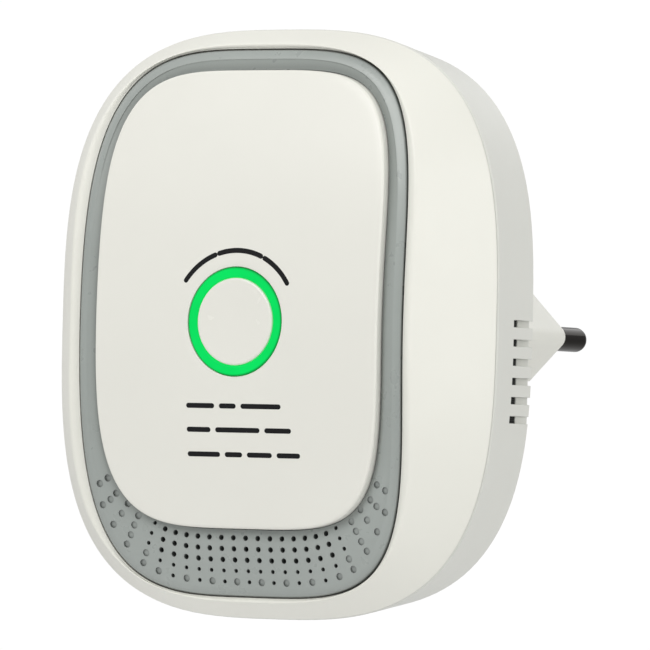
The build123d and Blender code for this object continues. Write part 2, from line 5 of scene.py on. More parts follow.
import bmesh
import bpy
from mathutils import Matrix, Vector


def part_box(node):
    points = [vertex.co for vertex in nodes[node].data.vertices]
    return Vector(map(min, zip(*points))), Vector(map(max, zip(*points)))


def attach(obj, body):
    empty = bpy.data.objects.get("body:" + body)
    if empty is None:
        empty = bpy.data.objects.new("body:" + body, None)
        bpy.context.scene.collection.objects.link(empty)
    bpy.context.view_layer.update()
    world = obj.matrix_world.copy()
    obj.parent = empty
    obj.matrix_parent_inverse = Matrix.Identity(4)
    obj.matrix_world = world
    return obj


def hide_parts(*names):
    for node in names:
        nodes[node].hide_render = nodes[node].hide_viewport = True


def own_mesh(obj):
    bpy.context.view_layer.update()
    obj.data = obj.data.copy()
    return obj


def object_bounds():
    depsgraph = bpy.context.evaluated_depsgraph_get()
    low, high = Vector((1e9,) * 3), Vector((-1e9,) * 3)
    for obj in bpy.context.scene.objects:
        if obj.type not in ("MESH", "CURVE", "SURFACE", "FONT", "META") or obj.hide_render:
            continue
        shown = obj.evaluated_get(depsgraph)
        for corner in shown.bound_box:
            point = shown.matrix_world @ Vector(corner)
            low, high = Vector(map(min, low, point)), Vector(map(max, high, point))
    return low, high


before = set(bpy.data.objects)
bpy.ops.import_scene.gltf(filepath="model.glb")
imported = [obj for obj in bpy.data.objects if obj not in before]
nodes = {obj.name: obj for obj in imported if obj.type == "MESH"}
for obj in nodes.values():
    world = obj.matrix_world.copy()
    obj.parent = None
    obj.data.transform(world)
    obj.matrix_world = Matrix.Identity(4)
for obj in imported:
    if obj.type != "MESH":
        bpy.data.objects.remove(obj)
cad_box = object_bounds()

MM = 0.001
COUNT = 336
TAU = 2 * math.pi

# ---- levels and outlines of the housing, millimetres; depths count from the panel's apex to the wall ----
SEAM_DEPTH = 13.05
SEAM_HALF = (40.6, 47.2)
RIM_HALF = (31.5, 41.0)
RIM_DEPTH = 0.99
HOUSING_POWER = 3.02
FRAME_HALF = (29.9, 43.7)
FRAME_POWER = 3.86
PANEL_HALF = (26.1, 36.54)
PANEL_POWER = 4.23
PANEL_LIFT = 3.7
DOME_RADIUS = 156.0
BUTTON_HOLE = 8.72
SEAM_GAP = 0.3
SEAM_ROUND = 0.24
SHELL_WALL = 1.6
# how far surfaces lie under the panel's domed front
RIM_SINK = 0.9
FACE_SINK = 1.0
FLOOR_SINK = 1.8
SEAT_SINK = 2.8
HOLE_SINK = 3.6
BACK_SINK = 4.4

panel_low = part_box("front_panel")[0]
cover_low, cover_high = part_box("front_cover")
CENTRE = Vector(((cover_low.x + cover_high.x) / 2, panel_low.y, (cover_low.z + cover_high.z) / 2))


def place(x, depth, z):
    """A point given from the housing's centre line, in the row frame."""
    return CENTRE + Vector((x, depth, z)) * MM


def grow(half, amount):
    return (half[0] + amount, half[1] + amount)


def dome(sink):
    """Depth of the front surface at a height, sunk by an amount."""
    return lambda z: DOME_RADIUS - math.sqrt((DOME_RADIUS - sink) ** 2 - z * z)


def shell_half(depth):
    along = (depth - RIM_DEPTH) / (SEAM_DEPTH - RIM_DEPTH)
    bulge = 1.18 * along - 0.18 * along**2
    return tuple(rim + (seam - rim) * bulge for rim, seam in zip(RIM_HALF, SEAM_HALF))


def outline_point(half, power, i):
    turn = i / COUNT
    angle = TAU * turn + 0.05 * math.sin(4 * TAU * turn)
    cosine, sine = math.cos(angle), math.sin(angle)
    reach = (abs(cosine) ** power + abs(sine) ** power) ** (-1 / power)
    return half[0] * reach * cosine, half[1] * reach * sine


def ring(half, power, depth, lift=0.0, raise_by=0.0):
    """A superellipse of points at a depth, which may follow the height."""
    points = []
    for i in range(COUNT):
        x, z = outline_point(half, power, i)
        z += lift
        points.append((x, (depth(z) if callable(depth) else depth) + raise_by, z))
    return points


def hole_ring(radius, depth, raise_by=0.0):
    return ring((radius, radius), 2, depth, 0.0, raise_by)


def between(a, b, share, depth):
    """A ring part way from ring a to ring b, on a surface."""
    points = []
    for (xa, _, za), (xb, _, zb) in zip(a, b):
        x, z = xa + (xb - xa) * share, za + (zb - za) * share
        points.append((x, depth(z) if callable(depth) else depth, z))
    return points


def rounded(half, power, depth, radius, lift=0.0, steps=5):
    """Rings over an outer edge, from its wall to the surface in front."""
    rings = []
    for k in range(steps + 1):
        a = math.pi / 2 * k / steps
        inward, drop = radius * (1 - math.cos(a)), radius * (1 - math.sin(a))
        rings.append(ring(grow(half, -inward), power, depth, lift, drop))
    return rings


def rounded_hole(radius, depth, edge, steps=4):
    """Rings over a hole's edge, from the surface in front to the hole's wall."""
    rings = []
    for k in range(steps, -1, -1):
        a = math.pi / 2 * k / steps
        rings.append(hole_ring(radius + edge * (1 - math.cos(a)), depth, edge * (1 - math.sin(a))))
    return rings


def new_piece(name, vertices, faces, material, body, slot, stands_for=(), sharp=38):
    """A smooth-shaded mesh piece that rides on a body."""
    mesh = bpy.data.meshes.new(name)
    mesh.from_pydata(vertices, [], faces)
    clean = bmesh.new()
    clean.from_mesh(mesh)
    bmesh.ops.recalc_face_normals(clean, faces=clean.faces)
    clean.to_mesh(mesh)
    clean.free()
    mesh.polygons.foreach_set("use_smooth", [True] * len(mesh.polygons))
    mesh.set_sharp_from_angle(angle=math.radians(sharp))
    piece = bpy.data.objects.new(name, mesh)
    bpy.context.scene.collection.objects.link(piece)
    if material:
        mesh.materials.append(material)
    if body:
        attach(piece, body)
    if stands_for:
        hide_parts(*stands_for)
    return piece


def loop_faces(count, rings, closed=True):
    faces = []
    for k in range(rings if closed else rings - 1):
        a, b = k * count, (k + 1) % rings * count
        faces += [(a + i, a + (i + 1) % count, b + (i + 1) % count, b + i) for i in range(count)]
    return faces


def shell(name, rings, material, slot, stands_for):
    """A closed shell whose section runs through the rings and back to the first."""
    vertices = [place(*point) for points in rings for point in points]
    return new_piece(name, vertices, loop_faces(COUNT, len(rings)), material, "housing", slot, stands_for)


def cut(piece, tool):
    """Take a tool's volume out of a piece."""
    step = piece.modifiers.new("cut", "BOOLEAN")
    step.operation = "DIFFERENCE"
    step.solver = "EXACT"
    step.object = tool
    bpy.context.view_layer.update()
    graph = bpy.context.evaluated_depsgraph_get()
    mesh = bpy.data.meshes.new_from_object(piece.evaluated_get(graph))
    piece.modifiers.clear()
    old = piece.data
    piece.data = mesh
    bpy.data.meshes.remove(old)
    mesh.polygons.foreach_set("use_smooth", [True] * len(mesh.polygons))
    mesh.set_sharp_from_angle(angle=math.radians(38))
    bpy.data.objects.remove(tool)
    normals = piece.modifiers.new("even_normals", "WEIGHTED_NORMAL")
    normals.keep_sharp = True


def prism(points, depths_front, depths_back):
    """Corner points and faces of one prism whose ends may follow a surface."""
    count = len(points)
    vertices = [place(x, depth, z) for (x, z), depth in zip(points, depths_front)]
    vertices += [place(x, depth, z) for (x, z), depth in zip(points, depths_back)]
    faces = [tuple(range(count)), tuple(range(2 * count - 1, count - 1, -1))]
    faces += [(i, (i + 1) % count, count + (i + 1) % count, count + i) for i in range(count)]
    return vertices, faces


def gather(parts):
    """One vertex and face list out of several."""
    vertices, faces = [], []
    for more, polygons in parts:
        start = len(vertices)
        vertices += more
        faces += [tuple(start + i for i in polygon) for polygon in polygons]
    return vertices, faces


def circle(x, z, radius, count=20):
    turns = [TAU * i / count for i in range(count)]
    return [(x + radius * math.cos(a), z + radius * math.sin(a)) for a in turns]


# ---- materials ----
def new_material(name):
    material = bpy.data.materials.new(name)
    material.use_nodes = True
    tree = material.node_tree
    shader = tree.nodes["Principled BSDF"]
    return material, tree, shader


def noise(tree, scale, detail=3.0, roughness=0.5):
    where = tree.nodes.new("ShaderNodeTexCoord")
    texture = tree.nodes.new("ShaderNodeTexNoise")
    texture.inputs["Scale"].default_value = scale
    texture.inputs["Detail"].default_value = detail
    texture.inputs["Roughness"].default_value = roughness
    tree.links.new(where.outputs["Object"], texture.inputs["Vector"])
    return texture.outputs["Fac"]


def ramp(tree, source, low, high, start=0.3, end=0.7):
    """A colour ramp from low to high over a share of the source's range."""
    node = tree.nodes.new("ShaderNodeValToRGB")
    node.color_ramp.elements[0].position = start
    node.color_ramp.elements[0].color = (*low, 1)
    node.color_ramp.elements[1].position = end
    node.color_ramp.elements[1].color = (*high, 1)
    tree.links.new(source, node.inputs["Fac"])
    return node.outputs["Color"]


def spread(tree, source, low, high):
    node = tree.nodes.new("ShaderNodeMapRange")
    node.inputs["From Min"].default_value = 0.3
    node.inputs["From Max"].default_value = 0.7
    node.inputs["To Min"].default_value = low
    node.inputs["To Max"].default_value = high
    tree.links.new(source, node.inputs["Value"])
    return node.outputs["Result"]


def bump(tree, shader, height, distance, strength=1.0, soft_edge=0.0):
    node = tree.nodes.new("ShaderNodeBump")
    node.inputs["Distance"].default_value = distance
    node.inputs["Strength"].default_value = strength
    tree.links.new(height, node.inputs["Height"])
    if soft_edge:
        edge = tree.nodes.new("ShaderNodeBevel")
        edge.samples = 4
        edge.inputs["Radius"].default_value = soft_edge
        tree.links.new(edge.outputs["Normal"], node.inputs["Normal"])
    tree.links.new(node.outputs["Normal"], shader.inputs["Normal"])


def shade(colour, factor):
    return tuple(min(1.0, c * factor) for c in colour)


def moulded(name, colour, rough, grain=2600, depth=4e-6, vary=0.012, specular=0.5, soft_edge=0.0, painted_shade=0.0):
    """Moulded plastic: faint mottling, fine spark texture, roughness that wanders, painted shade that
    darkens its recesses.
    """
    material, tree, shader = new_material(name)
    tone = noise(tree, 55, 4)
    colours = ramp(tree, tone, shade(colour, 1 - vary), shade(colour, 1 + vary))
    if painted_shade:
        # painted shade: ambient occlusion darkens the colour in recesses and beside raised edges
        recess = tree.nodes.new("ShaderNodeAmbientOcclusion")
        recess.samples = 8
        recess.inputs["Distance"].default_value = PAINTED_SHADE_REACH
        share = tree.nodes.new("ShaderNodeMapRange")
        share.inputs["To Min"].default_value = 1 - painted_shade
        tree.links.new(recess.outputs["AO"], share.inputs["Value"])
        shaded_colours = tree.nodes.new("ShaderNodeVectorMath")
        shaded_colours.operation = "SCALE"
        tree.links.new(colours, shaded_colours.inputs[0])
        tree.links.new(share.outputs["Result"], shaded_colours.inputs["Scale"])
        colours = shaded_colours.outputs["Vector"]
    tree.links.new(colours, shader.inputs["Base Color"])
    gloss = spread(tree, noise(tree, 420, 3), rough - 0.035, rough + 0.035)
    tree.links.new(gloss, shader.inputs["Roughness"])
    shader.inputs["Specular IOR Level"].default_value = specular
    bump(tree, shader, noise(tree, grain, 2, 0.6), depth, 1.0, soft_edge)
    return material


def metal(name, colour, rough, lines=0.0):
    """Plated or drawn metal: fine drawn lines and cloudy gloss."""
    material, tree, shader = new_material(name)
    colours = ramp(tree, noise(tree, 300, 4), shade(colour, 0.9), shade(colour, 1.08))
    tree.links.new(colours, shader.inputs["Base Color"])
    shader.inputs["Metallic"].default_value = 1.0
    tree.links.new(spread(tree, noise(tree, 900, 3), rough * 0.8, rough * 1.25), shader.inputs["Roughness"])
    bump(tree, shader, noise(tree, 5200, 2), 1.5e-6 + lines)
    return material


def cloth(name, dark, light, pitch):
    """Woven cloth: two crossed bands of threads."""
    material, tree, shader = new_material(name)
    where = tree.nodes.new("ShaderNodeTexCoord")
    bands = []
    for direction in ("X", "Z"):
        wave = tree.nodes.new("ShaderNodeTexWave")
        wave.bands_direction = direction
        wave.inputs["Scale"].default_value = 0.31 / pitch
        wave.inputs["Distortion"].default_value = 0.6
        wave.inputs["Detail"].default_value = 1.0
        tree.links.new(where.outputs["Object"], wave.inputs["Vector"])
        bands.append(wave.outputs["Fac"])
    product = tree.nodes.new("ShaderNodeMath")
    product.operation = "MULTIPLY"
    tree.links.new(bands[0], product.inputs[0])
    tree.links.new(bands[1], product.inputs[1])
    tree.links.new(ramp(tree, product.outputs[0], dark, light, 0.0, 1.0), shader.inputs["Base Color"])
    shader.inputs["Roughness"].default_value = 0.9
    bump(tree, shader, product.outputs[0], 4e-5)
    return material


def lit(name, colour, glow, strength):
    """A frosted light guide lit from behind, with cloudy brightness and painted shade that darkens its rim
    where it meets the panel's hole edge.
    """
    material, tree, shader = new_material(name)
    tree.links.new(ramp(tree, noise(tree, 210, 3), shade(colour, 0.8), colour), shader.inputs["Base Color"])
    cloudy = ramp(tree, noise(tree, 160, 2), shade(glow, 0.93), shade(glow, 1.05))
    where = tree.nodes.new("ShaderNodeTexCoord")
    flat = tree.nodes.new("ShaderNodeVectorMath")
    flat.operation = "MULTIPLY_ADD"
    flat.inputs[1].default_value = (1, 0, 1)
    flat.inputs[2].default_value = (-CENTRE.x, 0, -CENTRE.z)
    away = tree.nodes.new("ShaderNodeVectorMath")
    away.operation = "LENGTH"
    tree.links.new(where.outputs["Object"], flat.inputs[0])
    tree.links.new(flat.outputs["Vector"], away.inputs[0])
    # painted shade: the glow fades towards the guide's outer rim
    rim = tree.nodes.new("ShaderNodeMapRange")
    rim.inputs["From Min"].default_value = SHADED_RIM_START * MM
    rim.inputs["From Max"].default_value = SHADED_RIM_END * MM
    rim.inputs["To Min"].default_value = 1.0
    rim.inputs["To Max"].default_value = 0.25
    tree.links.new(away.outputs["Value"], rim.inputs["Value"])
    rim_shaded_glow = tree.nodes.new("ShaderNodeVectorMath")
    rim_shaded_glow.operation = "SCALE"
    tree.links.new(cloudy, rim_shaded_glow.inputs[0])
    tree.links.new(rim.outputs["Result"], rim_shaded_glow.inputs["Scale"])
    tree.links.new(rim_shaded_glow.outputs["Vector"], shader.inputs["Emission Color"])
    shader.inputs["Emission Strength"].default_value = strength
    shader.inputs["Roughness"].default_value = 0.35
    shader.inputs["Specular IOR Level"].default_value = 0.06
    bump(tree, shader, noise(tree, 3000, 2), 3e-6)
    return material


def laminate(name):
    """Solder mask over copper: darker board with fine lighter tracks."""
    material, tree, shader = new_material(name)
    where = tree.nodes.new("ShaderNodeTexCoord")
    tracks = tree.nodes.new("ShaderNodeTexBrick")
    tracks.inputs["Scale"].default_value = 190
    tracks.inputs["Mortar Size"].default_value = 0.035
    tracks.inputs["Color1"].default_value = (0.012, 0.10, 0.035, 1)
    tracks.inputs["Color2"].default_value = (0.016, 0.12, 0.045, 1)
    tracks.inputs["Mortar"].default_value = (0.05, 0.26, 0.10, 1)
    turn = tree.nodes.new("ShaderNodeMapping")
    turn.inputs["Rotation"].default_value = (math.pi / 2, 0, 0)
    tree.links.new(where.outputs["Object"], turn.inputs["Vector"])
    tree.links.new(turn.outputs["Vector"], tracks.inputs["Vector"])
    tree.links.new(tracks.outputs["Color"], shader.inputs["Base Color"])
    shader.inputs["Roughness"].default_value = 0.35
    bump(tree, shader, tracks.outputs["Fac"], 2e-5, 0.5)
    return material


# reach of the painted recess shade
PAINTED_SHADE_REACH = 0.0024
# radii in millimetres over which the painted rim shade on the light guide comes in
SHADED_RIM_START = 8.3
SHADED_RIM_END = 8.6
CREAM = (0.805, 0.80, 0.742)
warm_shell = moulded("warm_white_shell", (0.815, 0.812, 0.748), 0.36, grain=2400, depth=5e-6)
cool_shell = moulded("off_white_shell", (0.70, 0.705, 0.662), 0.46, grain=1900, depth=8e-6, soft_edge=1.5e-4)
panel_plastic = moulded("satin_panel", CREAM, 0.22, grain=3200, depth=2e-6, vary=0.008)
# the grey ring gets painted shade beside the panel and in its recesses
ring_plastic = moulded(
    "grey_ring", (0.335, 0.365, 0.347), 0.3, grain=2400, depth=5e-6,
    vary=0.03, specular=0.8, soft_edge=6e-5, painted_shade=0.75,
)
button_plastic = moulded("satin_button", CREAM, 0.24, grain=3200, depth=2e-6, vary=0.008)
plug_plastic = moulded("plug_plastic", (0.745, 0.745, 0.69), 0.42, grain=2000, depth=7e-6, soft_edge=2e-4)
black_plastic = moulded("black_plastic", (0.025, 0.025, 0.026), 0.45, vary=0.15)
ink = moulded("printing_ink", (0.006, 0.006, 0.007), 0.5, grain=3600, depth=2e-6, vary=0.2, specular=0.2)
red_plastic = moulded("red_plastic", (0.5, 0.035, 0.03), 0.4, vary=0.05)
yellow_plastic = moulded("yellow_plastic", (0.72, 0.55, 0.07), 0.4, vary=0.05)
clear_plastic = moulded("lamp_body", (0.78, 0.78, 0.72), 0.2, vary=0.02)
tape = moulded("winding_tape", (0.72, 0.5, 0.08), 0.35, grain=700, depth=2e-5, vary=0.06)
sleeve = moulded("capacitor_sleeve", (0.03, 0.05, 0.16), 0.25, vary=0.06)
blue_disc = moulded("blue_disc", (0.05, 0.16, 0.48), 0.3, grain=900, depth=2e-5, vary=0.06)
ferrite = moulded("ferrite", (0.06, 0.06, 0.065), 0.6, grain=1500, depth=2e-5, vary=0.12)
fibre = moulded("fibre_sheet", (0.68, 0.64, 0.5), 0.75, grain=500, depth=2e-5, vary=0.05)
label_stock = moulded("label_stock", (0.72, 0.725, 0.71), 0.55, grain=1300, depth=3e-6, vary=0.015)
# painted reflection: the nearly black base colour stands in for the plated pins mirroring a dark surrounding
pin_metal = metal("nickel_painted_dark_reflection", (0.009, 0.0065, 0.004), 0.1)
steel = metal("zinc_steel", (0.5, 0.5, 0.49), 0.32)
brass = metal("stamped_brass", (0.7, 0.5, 0.22), 0.3)
can_metal = metal("drawn_can", (0.6, 0.61, 0.61), 0.28, 2e-6)
mesh_cloth = cloth("acoustic_cloth", (0.004, 0.004, 0.004), (0.035, 0.035, 0.035), 0.0003)
filter_cloth = cloth("filter_cloth", (0.01, 0.01, 0.01), (0.06, 0.06, 0.06), 0.0004)
green_glow = lit("lit_green", (0.001, 0.2, 0.04), (0.001, 0.72, 0.105), 0.82)
board_green = laminate("solder_mask")

FINISH = {
    warm_shell: ["front_cover"],
    cool_shell: ["rear_cover"],
    panel_plastic: ["front_panel"],
    ring_plastic: ["grille_frame"],
    button_plastic: ["test_button"],
    green_glow: ["light_guide"],
    plug_plastic: ["plug_body"],
    label_stock: ["rating_label"],
    pin_metal: ["plug_pin_left", "plug_pin_right"],
    steel: ["button_spring", "button_clip", "housing_screws", "board_screws", "plug_screws"],
    brass: ["pin_contact_left", "pin_contact_right", "sounder_disc"],
    can_metal: ["sensor_can", "crystal"],
    mesh_cloth: ["acoustic_mesh"],
    filter_cloth: ["sensor_filter", "sensor_element"],
    board_green: ["main_board"],
    black_plastic: [
        "switch_body", "sounder_case", "sensor_base", "fuse", "bridge_rectifier", "supply_chip",
        "optocoupler", "voltage_regulator", "microcontroller", "transformer_base",
    ],
    red_plastic: ["switch_plunger"],
    yellow_plastic: ["film_capacitor"],
    clear_plastic: ["led_green", "led_yellow", "led_red"],
    tape: ["transformer_winding"],
    sleeve: ["input_capacitor", "output_capacitor"],
    blue_disc: ["varistor"],
    ferrite: ["transformer_core"],
    fibre: ["insulating_sheet"],
}
for material, names in FINISH.items():
    for name in names:
        mesh = nodes[name].data
        if not mesh.materials:
            mesh.materials.append(material)
        for i in range(len(mesh.materials)):
            mesh.materials[i] = material

# ---- front shell ----
RIM_SOFTENING = 4
RIM_FALL = 0.6
SEAT = dome(SEAT_SINK)
LIP = dome(RIM_SINK)
BACK = dome(BACK_SINK)
seat_outline = grow(FRAME_HALF, 0.1)


def shoulder_ring(start, share):
    """The shoulder part way from a ring of depths to the parting line."""
    points = []
    for i in range(COUNT):
        depth = start[i] + (SEAM_DEPTH - SEAM_GAP - start[i]) * share
        x, z = outline_point(shell_half(depth), HOUSING_POWER, i)
        points.append((x, depth, z))
    return points


rim_depths = []
for i in range(COUNT):
    depth = 1.0
    for _ in range(40):
        depth = LIP(outline_point(shell_half(depth), HOUSING_POWER, i)[1])
    rim_depths.append(depth)

seat_edge = ring(seat_outline, FRAME_POWER, SEAT)
hole_edge = hole_ring(BUTTON_HOLE, SEAT)
lip_inner = ring(grow(seat_outline, 0.1), FRAME_POWER, LIP)
lip_outer = shoulder_ring(rim_depths, 0.0)
front_rings = [hole_ring(BUTTON_HOLE, BACK), hole_edge]
front_rings += [between(hole_edge, seat_edge, k / 6, SEAT) for k in range(1, 6)] + [seat_edge]
front_rings += [
    ring(seat_outline, FRAME_POWER, LIP, 0, RIM_FALL + 0.1),
    ring(grow(seat_outline, 0.03), FRAME_POWER, LIP, 0, RIM_FALL + 0.03),
]


def lip_ring(share):
    """The rim's front, which falls a little towards the ring."""
    points = between(lip_inner, lip_outer, share, LIP)
    return [(x, depth + RIM_FALL * (1 - share) ** 2, z) for x, depth, z in points]


profile = [lip_ring(k / 10) for k in range(11)] + [shoulder_ring(rim_depths, k / 40) for k in range(1, 41)]
for _ in range(RIM_SOFTENING):
    soft = [profile[0]]
    for k in range(1, len(profile) - 1):
        neighbours = zip(*profile[k - 1 : k + 2])
        soft.append([tuple((a + 2 * b + c) / 4 for a, b, c in zip(*trio)) for trio in neighbours])
    profile = soft + [profile[-1]]
front_rings += profile
lip_half = shell_half(SEAM_DEPTH - SEAM_GAP)
for k in range(1, 6):
    a = math.pi / 2 * k / 5
    half = grow(lip_half, -SEAM_ROUND * (1 - math.cos(a)))
    front_rings.append(ring(half, HOUSING_POWER, SEAM_DEPTH - SEAM_GAP + SEAM_ROUND * math.sin(a)))
inner_depths = []
for i in range(COUNT):
    depth = 5.0
    for _ in range(60):
        depth = BACK(outline_point(grow(shell_half(depth + 1), -SHELL_WALL), HOUSING_POWER, i)[1])
    inner_depths.append(depth)
for k in range(13):
    points = []
    for i in range(COUNT):
        depth = SEAM_DEPTH + (inner_depths[i] - SEAM_DEPTH) * k / 12
        x, z = outline_point(grow(shell_half(depth + 1), -SHELL_WALL), HOUSING_POWER, i)
        points.append((x, depth, z))
    front_rings.append(points)
back_hole = front_rings[0]
front_rings += [between(front_rings[-1], back_hole, share, BACK) for share in (0.25, 0.5, 0.75)]
front_shell = shell("front_shell", front_rings, warm_shell, "front_shell", ["front_cover"])

WINDOW_HALF = 20.6
WINDOW_TOP = -31.5
WINDOW_DEPTHS = (1.0, 16.0)
window = []
inner = grow(FRAME_HALF, -1.8)
for i in range(41):
    x = -WINDOW_HALF + 2 * WINDOW_HALF * i / 40
    window.append((x, -inner[1] * (1 - abs(x / inner[0]) ** FRAME_POWER) ** (1 / FRAME_POWER)))
window += [(WINDOW_HALF, WINDOW_TOP), (-WINDOW_HALF, WINDOW_TOP)]
front, rear = ([depth] * len(window) for depth in WINDOW_DEPTHS)
cut(front_shell, new_piece("window_tool", *prism(window, front, rear), None, None, None))

# ---- grey ring with its grille ----
FACE = dome(FACE_SINK)
LIP_REACH = 1.45
LIP_DROP = 0.25
LIP_EDGE = 0.3
RING_HALF = grow(FRAME_HALF, -0.14)
TROUGH = 0.45
TROUGH_WIDTH = 1.3
SAG = 0.12
FLOOR = dome(FLOOR_SINK)
ring_back = ring(RING_HALF, FRAME_POWER, SEAT)
ring_rings = [hole_ring(BUTTON_HOLE, SEAT), hole_ring(BUTTON_HOLE, FLOOR)]
panel_seat = ring(grow(PANEL_HALF, 0.1), PANEL_POWER, FLOOR, PANEL_LIFT)
ring_rings += [between(ring_rings[1], panel_seat, k / 5, FLOOR) for k in range(1, 5)] + [panel_seat]
trough_edge = ring(grow(PANEL_HALF, 0.12), PANEL_POWER, FACE, PANEL_LIFT)
lip_rings = []
for k in range(5):
    a = math.pi / 2 * k / 4
    inward = LIP_EDGE * (1 - math.cos(a))
    drop = LIP_DROP + LIP_EDGE * (1 - math.sin(a))
    lip_rings.append(ring(grow(RING_HALF, -inward), FRAME_POWER, FACE, 0, drop))
for k in range(1, 9):
    inward = LIP_EDGE + (LIP_REACH - LIP_EDGE) * k / 8
    lip_rings.append(ring(grow(RING_HALF, -inward), FRAME_POWER, FACE, 0, LIP_DROP * (1 - k / 8) ** 2))


def ring_face(share):
    """The ring's face: it dips beside the panel and rises in a soft curve to the outer lip."""
    points = []
    for (xa, _, za), (xb, _, zb) in zip(trough_edge, lip_rings[-1]):
        x, z = xa + (xb - xa) * share, za + (zb - za) * share
        away = math.hypot(x - xa, z - za)
        left = math.hypot(xb - x, zb - z)
        dip = TROUGH * math.exp(-((away / TROUGH_WIDTH) ** 1.5))
        slack = SAG * (1 - math.exp(-left / 0.9))
        points.append((x, FACE(z) + dip + slack, z))
    return points


ring_rings += [ring_face((k / 20) ** 1.6) for k in range(20)]
ring_rings += lip_rings[::-1] + [ring_back]
ring_rings += [between(ring_back, ring_rings[0], k / 6, SEAT) for k in range(1, 6)]
grey_ring = shell("grey_ring", ring_rings, ring_plastic, "grey_frame", ["grille_frame"])

HOLE_PITCH = 1.75
HOLE_RADIUS = 0.44
SMALL_HOLE_RADIUS = 0.33
DIMPLE_RADIUS = 0.58
DIMPLE_DEPTH = 0.22
EDGE_MARGIN = 2.4
HOLE_END = dome(HOLE_SINK)
CORNER_DIMPLES = [
    (22.3, -35.8), (21.4, -34.3), (20.6, -32.7), (19.8, -31.2), (24.5, -32.7), (22.8, -30.9), (21.6, -29.3),
    (26.2, -29.6), (24.7, -28.7), (23.6, -27.7), (26.5, -26.2), (25.0, -25.3),
]


def outline_height(x):
    return FRAME_HALF[1] * (1 - abs(x / FRAME_HALF[0]) ** FRAME_POWER) ** (1 / FRAME_POWER)


cutters = []


def drill(x, z, radius, depth):
    """A round cut down to a surface."""
    points = circle(x, z, radius)
    cutters.append(prism(points, [FACE(z) - 1 for _, z in points], [depth(z) for _, z in points]))



def dimple(x, z):
    """A shallow round recess under the ring's face, which is lower beside the panel."""
    away = min(math.hypot(x - a, z - b) for a, _, b in trough_edge)
    dip = TROUGH * math.exp(-((away / TROUGH_WIDTH) ** 1.5))
    drill(x, z, DIMPLE_RADIUS, dome(FACE_SINK + SAG + dip + DIMPLE_DEPTH))


for side in (-1, 1):
    for x, z in CORNER_DIMPLES:
        dimple(side * x, z)
for column in range(-8, 9):
    away = abs(column)
    lean = math.radians(0.045 * away**3)
    x_last = 2.27 * away + 0.0027 * away**3
    z_last = EDGE_MARGIN / math.cos(lean) - outline_height(x_last)
    for row in range(5 if away > 6 else 6):
        reach = HOLE_PITCH * row
        x, z = math.copysign(x_last - reach * math.sin(lean), column), z_last + reach * math.cos(lean)
        if row == 0 and away % 2 or away == 8 and row < 2:
            dimple(x, z)
        elif row < 2 or away == 8:
            drill(x, z, SMALL_HOLE_RADIUS, HOLE_END)
        else:
            drill(x, z, HOLE_RADIUS, HOLE_END)
cut(grey_ring, new_piece("grille_tool", *gather(cutters), None, None, None))

# ---- front panel ----
PANEL_ROUND = 0.42
HOLE_ROUND = 0.12
TOP = dome(0.0)
panel_edge = rounded(PANEL_HALF, PANEL_POWER, TOP, PANEL_ROUND, PANEL_LIFT)
hole_rings = rounded_hole(BUTTON_HOLE, TOP, HOLE_ROUND)
panel_rings = [ring(PANEL_HALF, PANEL_POWER, FLOOR, PANEL_LIFT)] + panel_edge
panel_rings += [between(panel_edge[-1], hole_rings[0], k / 26, TOP) for k in range(1, 26)] + hole_rings
panel_rings += [hole_ring(BUTTON_HOLE, FLOOR)]
panel_rings += [between(panel_rings[-1], panel_rings[0], k / 4, FLOOR) for k in range(1, 4)]
shell("front_plate", panel_rings, panel_plastic, "panel", ["front_panel"])

# ---- printed marks: plain bars in place of wording ----
INK_PROUD = 0.016
INK_SUNK = 0.06
BAR = 0.4
BAR_GAP = 0.9
BAR_LEFT = -8.9
BAR_ROWS = [(-13.4, (5.2, 3.1, 7.4)), (-17.2, (4.4, 8.2, 4.9)), (-21.1, (6.0, 3.2, 4.6, 4.3))]
ARC_RADIUS = 11.3
ARC_BARS = [(145, 111), (107, 67), (63, 33)]
marks = []


def mark(points):
    """A raised patch of ink on the panel's surface."""
    depths = [TOP(z) for _, z in points]
    marks.append(prism(points, [d - INK_PROUD for d in depths], [d + INK_SUNK for d in depths]))


def cap(x, z, radius, start):
    """A half circle of points, turning on from a direction in degrees."""
    turns = [math.radians(start + 15 * k) for k in range(13)]
    return [(x + radius * math.cos(a), z + radius * math.sin(a)) for a in turns]


for z, lengths in BAR_ROWS:
    x = BAR_LEFT
    for length in lengths:
        mark(cap(x + BAR, z, BAR, 90) + cap(x + length - BAR, z, BAR, -90))
        x += length + BAR_GAP
for high, low in ARC_BARS:
    steps = [math.radians(low + (high - low) * k / 24) for k in range(25)]
    for a, b in zip(steps, steps[1:]):
        near, far = ARC_RADIUS - BAR, ARC_RADIUS + BAR
        corners = [(near, a), (far, a), (far, b), (near, b)]
        mark([(reach * math.cos(turn), reach * math.sin(turn)) for reach, turn in corners])
    for turn, start in ((steps[0], low - 180), (steps[-1], high)):
        mark(cap(ARC_RADIUS * math.cos(turn), ARC_RADIUS * math.sin(turn), BAR, start))
new_piece("printed_bars", *gather(marks), ink, "housing", "black_plastic")

# ---- the button's return spring, a copy of the part's mesh on the housing ----
coil = bpy.data.objects.new("return_spring", nodes["button_spring"].data.copy())
bpy.context.scene.collection.objects.link(coil)
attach(coil, "housing")
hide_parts("button_spring")
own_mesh(coil)

